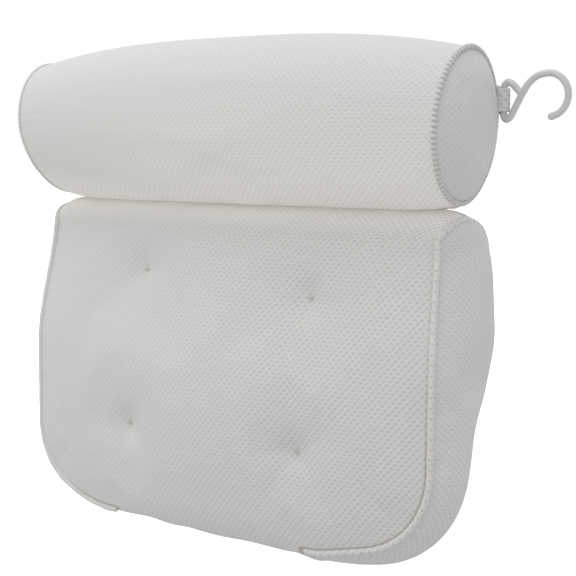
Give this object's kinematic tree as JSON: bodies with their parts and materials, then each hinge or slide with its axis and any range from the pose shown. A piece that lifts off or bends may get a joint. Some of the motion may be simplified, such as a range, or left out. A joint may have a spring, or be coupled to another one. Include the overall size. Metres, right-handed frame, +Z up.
{
  "type": "bath pillow",
  "caption": "White spacer-mesh bath pillow: a neck roll hinged by a sewn fold to a tufted, tapered back cushion, with suction cups behind and a drying hook on a side loop.",
  "frame": {"origin": "on the plane of the tub wall that the suction cups press against, at the height of the sewn fold and centred left to right", "axes": "+X to the right seen from the front, +Y back into the tub wall (the resting face looks along -Y), +Z up"},
  "size_m": [0.4408, 0.1161, 0.369],
  "materials": {
    "air_mesh": "matte white knitted spacer mesh with rows of small oval holes",
    "seam_edge": "the same mesh gathered and overlocked along a seam",
    "fibre_fill": "loose white fibre wadding",
    "thread": "waxed white sewing thread",
    "webbing": "plain white woven tape",
    "clear_vinyl": "glossy milky soft vinyl",
    "hook_plastic": "glossy white moulded plastic"
  },
  "bodies": {
    "cushion": {"cushion_front": "air_mesh", "cushion_back": "air_mesh", "cushion_fill": "fibre_fill", "cushion_seam_flap": "air_mesh", "gusset_left": "air_mesh", "gusset_right": "air_mesh", "gusset_piping_left": "seam_edge", "gusset_piping_right": "seam_edge", "tuft_tie_1": "thread", "tuft_tie_2": "thread", "tuft_tie_3": "thread", "tuft_tie_4": "thread", "cup_tab_cushion_1": "webbing", "cup_tab_cushion_2": "webbing", "cup_tab_cushion_3": "webbing"},
    "roll": {"roll_cover": "air_mesh", "roll_fill": "fibre_fill", "roll_seam_flap": "air_mesh", "roll_end_left": "air_mesh", "roll_end_right": "air_mesh", "roll_ridge_left": "seam_edge", "roll_ridge_right": "seam_edge", "hook_loop": "webbing", "cup_tab_roll_1": "webbing", "cup_tab_roll_2": "webbing", "cup_tab_roll_3": "webbing"},
    "hook": {"drying_hook": "hook_plastic"},
    "cup_roll_1": {"suction_cup_roll_1": "clear_vinyl"},
    "cup_roll_2": {"suction_cup_roll_2": "clear_vinyl"},
    "cup_roll_3": {"suction_cup_roll_3": "clear_vinyl"},
    "cup_cushion_1": {"suction_cup_cushion_1": "clear_vinyl"},
    "cup_cushion_2": {"suction_cup_cushion_2": "clear_vinyl"},
    "cup_cushion_3": {"suction_cup_cushion_3": "clear_vinyl"}
  },
  "joints": [
    {"name": "roll_fold", "type": "hinge", "parent": "cushion", "child": "roll", "pos_m": [0, -0.0553, 0], "axis": [1, 0, 0], "range_deg": [-38, 15]},
    {"name": "hook_swing", "type": "hinge", "parent": "roll", "child": "hook", "pos_m": [0.19558, -0.0351, 0.07], "axis": [0, 0, 1], "range_deg": [-75, 100]},
    {"name": "cup_spin_roll_1", "type": "hinge", "parent": "roll", "child": "cup_roll_1", "pos_m": [-0.092, 0, 0.0528], "axis": [0, 1, 0], "continuous": true},
    {"name": "cup_spin_roll_2", "type": "hinge", "parent": "roll", "child": "cup_roll_2", "pos_m": [0, 0, 0.0528], "axis": [0, 1, 0], "continuous": true},
    {"name": "cup_spin_roll_3", "type": "hinge", "parent": "roll", "child": "cup_roll_3", "pos_m": [0.092, 0, 0.0528], "axis": [0, 1, 0], "continuous": true},
    {"name": "cup_spin_cushion_1", "type": "hinge", "parent": "cushion", "child": "cup_cushion_1", "pos_m": [-0.12, 0, -0.05], "axis": [0, 1, 0], "continuous": true},
    {"name": "cup_spin_cushion_2", "type": "hinge", "parent": "cushion", "child": "cup_cushion_2", "pos_m": [0, 0, -0.05], "axis": [0, 1, 0], "continuous": true},
    {"name": "cup_spin_cushion_3", "type": "hinge", "parent": "cushion", "child": "cup_cushion_3", "pos_m": [0.12, 0, -0.05], "axis": [0, 1, 0], "continuous": true}
  ]
}
